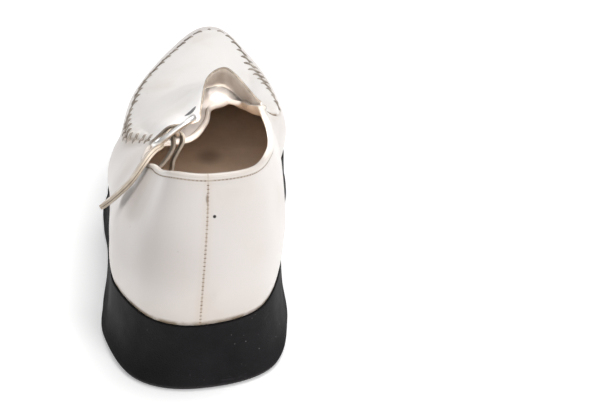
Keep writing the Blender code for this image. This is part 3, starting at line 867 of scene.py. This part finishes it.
def build_inner_end():
    """A thin dark tube as painted shade in the slit behind the apron's inner end, and the tack that
    closes its top.
    """
    share = np.linspace(0.06, 0.95, 40)
    top, lower = 36, 30                 # points of the slit below the tack
    tack_share, tack_half, tack_points = 0.9, 1.6, 9
    beside = APRON_END - 0.1
    here = apron_points(APRON_END, share)
    normal = unit(np.cross(np.gradient(here, axis=0), apron_points(beside, share) - here))
    normal = normal * np.sign(normal[:, 2:])
    slit = laid_on(("upper_leather",), here, normal, 0.15)
    middle = apron_points(APRON_END, tack_share)
    across = unit(apron_points(beside, tack_share) - middle)
    place = middle + across * np.linspace(-tack_half, tack_half, tack_points)[:, None]
    clearance = 0.5 - 0.9 * np.linspace(-1, 1, tack_points) ** 4
    tack = laid_on(("apron_leather", "upper_leather"), place,
                   np.tile(normal[top], (tack_points, 1)), clearance)
    # painted shade: a thin dark tube stands for the shadow in the slit
    piece("slit_shade_tube", *tube(slit, 0.8, 0.6, across, 6), [fine_thread], slot="loop_leather")
    along = unit(here[top] - here[lower])
    piece("bar_tack", *tube(tack, WHIP_WIDTH, 1.0, along, 8), [whip_thread],
          slot="loop_leather")


build_inner_end()

# %% [markdown]
# ## Fine stitches
# The back seam joins the two quarters and is closed with short stitches. A second row
# runs under the bound top edge. These threads have gone brown with use.

# %% Fine stitches
FINE_STEP, FINE_DROP = 1.5, 1.75    # from stitch to stitch, and below the top edge


def below_topline(at, distance):
    """A point on the upper, a distance below its top edge."""
    step = np.linalg.norm(last(at, 1.0) - last(at, 0.97), axis=-1) / 0.03
    return last(at, 1 - distance / step)


def out_of_upper(at, share):
    """The direction that points out of the upper."""
    around = last(at + 0.05, share) - last(at - 0.05, share)
    rise = last(at, share + 0.01) - last(at, share - 0.01)
    return unit(np.cross(rise, around))


def build_back_stitches():
    """Short stitches across the back seam."""
    levels = np.arange(0.02, 0.955, 0.0262)
    here = last(0.0, levels)
    normal = out_of_upper(0.0, levels)
    level = unit(np.cross(normal, (0, 0, 1.0)))
    points = [laid_on(["upper_leather"], here + level * side, normal, clearance)
              for side, clearance in ((-0.6, -0.3), (-0.25, 0.05), (0.25, 0.05), (0.6, -0.3))]
    rise = unit(np.cross(level, normal))
    return [tube(path, 0.3, 0.3, up, 6) for path, up in zip(np.stack(points, 1), rise)]


def build_top_stitches():
    """A row of stitches under the top edge."""
    at = np.arange(0.03, ROUND - 0.02, 0.0035)
    run = run_of(below_topline(at, FINE_DROP))
    starts = np.arange(int(run[-1] / FINE_STEP)) * FINE_STEP
    points = []
    for offset, clearance in ((0.1, -0.3), (0.4, 0.06), (0.8, 0.06), (1.1, -0.3)):
        place = np.interp(starts + offset, run, at)
        rise = below_topline(place, 1.2) - below_topline(place, 2.3)
        ahead = below_topline(place + 0.03, FINE_DROP) - below_topline(place - 0.03, FINE_DROP)
        points.append(laid_on(["upper_leather"], below_topline(place, FINE_DROP),
                              unit(np.cross(rise, ahead)), clearance))
    return [tube(path, 0.32, 0.32, (0, 0, 1.0), 6) for path in np.stack(points, 1)]


piece("fine_stitches", *joined(build_back_stitches() + build_top_stitches()), [fine_thread],
      slot="loop_leather")

# %% [markdown]
# ## Strap, loop and buckle
# The strap leaves the apron, crosses the buckle's centre bar and ends in a free tail.
# It is two layers of leather, so its edge shows a line down the middle. The loop that
# holds the bar is a thin folded strip.

# %% The buckle's own directions
rail_axis = Vector((0.765, 0.408, 0.50)).normalized()
bar_axis = Vector((-0.05, 0.95, -0.34))
bar_axis = (bar_axis - rail_axis * bar_axis.dot(rail_axis)).normalized()
buckle_up = rail_axis.cross(bar_axis).normalized()
BAR_HALF, RAIL_HALF, BAR_RADIUS, BAR_DROP = 6.0, 9.3, 0.9, 2.2
buckle_centre = Vector((-9.25, 31.0, 76.2)) + bar_axis * BAR_HALF


def in_buckle(rail, bar, up):
    """A point given in the buckle's own directions."""
    return np.array(buckle_centre + rail_axis * rail + bar_axis * bar + buckle_up * up)


# %% Strap
STRAP_SIDES, STRIP_SQUARE = 28, 7.0     # sides of the strap, boxiness of strap and loop
# columns: x y z | width | thickness
STRAP = np.array([
    (-10.0, 37.6, 75.0, 7.6, 0.7), (-12.6, 36.0, 73.3, 8.4, 1.1), (-16.0, 32.4, 68.3, 9.0, 2.1),
    (-19.7, 26.2, 66.8, 9.0, 2.3), (-26.4, 19.2, 59.2, 9.0, 2.3), (-32.8, 16.6, 53.4, 8.6, 2.3),
    (-36.8, 15.6, 50.3, 7.0, 2.2), (-38.2, 15.4, 49.4, 4.0, 1.8)])


def build_strap():
    rows = smooth(STRAP, np.linspace(0, 7, 7 * 12 + 1), False)
    points, faces = tube(rows[:, :3], rows[:, 3], rows[:, 4], np.array(bar_axis), STRAP_SIDES,
                         square=STRIP_SQUARE)
    layer = np.tile(boxy(turns(STRAP_SIDES), STRIP_SQUARE)[1], len(rows))
    strap = piece("strap_tail", points, faces, [apron_leather, strap_edge],
                  values={"layer": layer})
    for face in strap.data.polygons:
        face.material_index = 1 if abs(face.normal.dot(bar_axis)) > 0.55 else 0


build_strap()

# %% Buckle loop
# places along the rail and above it, before and after the turn round the bar
LOOP_OUTER = [(-17.9, -8.4), (-11.2, -7.8), (-6.4, -6.4), (-3.5, -4.7)]
LOOP_INNER = [(1.5, -4.3), (-0.2, -6.2), (-3.6, -7.7), (-7.6, -9.6), (-10.6, -12.2), (-17.9, -14.4)]


def build_loop():
    reach = BAR_RADIUS + GAP + 0.55
    turn = [(cos(a) * reach, sin(a) * reach - BAR_DROP)
            for a in (pi, pi * 0.8, pi * 0.6, pi * 0.4, pi * 0.2, 0)]
    rows = [in_buckle(rail, 0, up) for rail, up in LOOP_OUTER + turn + LOOP_INNER]
    path = smooth(rows, np.linspace(0, len(rows) - 1, 16 * len(rows)), False)
    points, faces = tube(path, 8.0, 1.25, np.array(bar_axis), 24, square=STRIP_SQUARE)
    piece("loop_strip", points, faces, [edge_leather, lining], node="buckle_loop",
          slot="loop_leather")


build_loop()

# %% Buckle
def build_buckle():
    turn = np.arange(96) * 2 * pi / 96
    rail, bar = boxy(turn, 4.0)
    knob = np.clip(np.cos(turn), 0, 1) ** 6
    path = np.array([in_buckle(r, b, -0.012 * max(0, r) ** 2)
                     for r, b in zip(RAIL_HALF * rail, BAR_HALF * bar)])
    frame_shape = tube(path, 2.2 + 1.4 * knob, 2.0 + 1.4 * knob, np.array(buckle_up), 14,
                       True, 2.6)
    bend = BAR_HALF - 1.4               # where the bar has come down to its full drop
    rows = [in_buckle(0, b, u) for b, u in
            ((-BAR_HALF, 0), (-bend, -BAR_DROP), (0, -BAR_DROP), (bend, -BAR_DROP), (BAR_HALF, 0))]
    path = smooth(rows, np.linspace(0, 4, 33), False)
    bar_shape = tube(path, 2 * BAR_RADIUS, 2 * BAR_RADIUS, np.array(rail_axis), 12)
    piece("buckle_frame", *joined([frame_shape, bar_shape]), [metal], node="buckle",
          slot="buckle_metal")


build_buckle()

# %% [markdown]
# ## The insole
# The sock inside is dark from wear. It is slightly dished, because the foot has
# pressed it, so it is a new mesh over the solid one.

# %% Insole
INSOLE_STEPS = 8


def insole_leather():
    n = Nodes("insole_leather", 0.6)
    patches = n.ramp(n.noise(26, 5, rough=0.65), 0.3, 0.7)
    colour = n.mix(patches, (0.66, 0.52, 0.40), (0.50, 0.385, 0.29))
    stain = n.times(n.spot((1.6, 119, 25), 2, 12, (0.7, 1, 1)), 0.55)
    colour = n.mix(stain, colour, (0.10, 0.07, 0.05))
    n.bump(n.noise(400, 3), 0.3, 0.0004)
    return n.done(colour, n.ramp(n.noise(40, 3), 0.3, 0.7, 0.4, 0.65))


def build_insole():
    at = np.arange(ROUND * INSOLE_STEPS) / INSOLE_STEPS
    plan, away = feather(at), outward(at)
    other = (len(at) - np.arange(len(at))) % len(at)
    centre = (plan + plan[other]) / 2
    rings = []
    for inset, lift in ((2.6, 0.3), (2.6, 2.6), (3.2, 3.2), (6.5, 2.9)):
        ring = plan - away * inset
        rings.append(at_height(ring, deck_height(ring[:, 1]) + lift))
    dish = centre + (rings[-1] - centre) * (0.5, 1, 1)
    rings.append(at_height(dish, deck_height(dish[:, 1]) + 2.2))
    piece("insole_sock", *stacked(rings), [insole_leather()], node="insole", slot="lining")


build_insole()

# %% [markdown]
# ## Floor, light and camera
# A pale floor and large soft lights leave the white leather its own shading. They leave
# the inside too dark, so four small cards that the camera doesn't see stand in the
# throat, over the vamp and in the collar. The camera stands behind the heel and looks
# down along the shoe.

# %% Floor and lights
bpy.ops.object.select_all(action="DESELECT")
bpy.ops.mesh.primitive_plane_add(size=6, location=(0, 0.6, 0))
floor = bpy.context.object
floor.name = "floor"
paint = Nodes("floor_paint", 0.9)
floor.data.materials.append(paint.done((0.9, 0.9, 0.9), Emission_Strength=0.3,
                                       Emission_Color=(1, 1, 1, 1)))
# name | size in m | power in W | place | aim
LAMPS = [
    ("key", 0.5, 4.7, (0.65, -0.8, 0.7), (0, 0.05, 0.04)),
    ("top", 1.2, 16.0, (0.3, 0.4, 1.5), (0, 0.1, 0.04)),
    ("fill", 0.8, 1.1, (-0.7, -0.35, 1.2), (0, 0.05, 0.04)),
]
CARDS = [
    ("throat card", 0.03, 0.02, (0.012, 0.03, 0.082), (0.012, 0.115, 0.066)),
    ("vamp card", 0.02, 0.0014, (0.006, 0.102, 0.0618), (0.006, 0.102, 0.05)),
    ("front card", 0.006, 0.0018, (0.006, 0.100, 0.0640), (0.007, 0.126, 0.0550)),
    ("collar card", 0.05, 0.030, (0.012, 0.02, 0.11), (0.002, 0.09, 0.02)),
]


def soft_light(name, size, power, place, aim):
    light = bpy.data.lights.new(name, "AREA")
    light.shape, light.size, light.energy = "DISK", size, power
    lamp = bpy.data.objects.new(name, light)
    bpy.context.collection.objects.link(lamp)
    lamp.location = place
    lamp.rotation_euler = (Vector(aim) - Vector(place)).to_track_quat("-Z", "Y").to_euler()
    return lamp


for row in LAMPS:
    soft_light(*row)
for row in CARDS:
    card = soft_light(*row)
    card.visible_camera = card.visible_glossy = False
bpy.data.lights["front card"].spread = radians(50)
world = bpy.data.worlds.new("studio")
bpy.context.scene.world = world
world.use_nodes = True
background = world.node_tree.nodes["Background"].inputs
background["Color"].default_value = (1, 1, 1, 1)
background["Strength"].default_value = 0.32
bpy.context.scene.view_settings.view_transform = "Standard"
print("lights:", len(LAMPS), "large ones and", len(CARDS), "hidden cards")

# %% Camera
PITCH, YAW, ROLL = radians(26.24), radians(1.3), radians(1.37)
CAMERA_PLACE = (0.02565, -0.66374, 0.38417)
forward = Vector((sin(YAW) * cos(PITCH), cos(YAW) * cos(PITCH), -sin(PITCH)))
level = Vector((cos(YAW), -sin(YAW), 0))
upward = level.cross(forward)
right = level * cos(ROLL) + upward * sin(ROLL)
above = upward * cos(ROLL) - level * sin(ROLL)
camera_data = bpy.data.cameras.new("camera")
camera_data.sensor_width = 36
camera_data.lens = 114
camera_data.clip_start = 0.05
camera = bpy.data.objects.new("camera", camera_data)
bpy.context.collection.objects.link(camera)
camera.matrix_world = Matrix((
    (right.x, above.x, -forward.x, CAMERA_PLACE[0]),
    (right.y, above.y, -forward.y, CAMERA_PLACE[1]),
    (right.z, above.z, -forward.z, CAMERA_PLACE[2]),
    (0, 0, 0, 1)))
bpy.context.scene.camera = camera
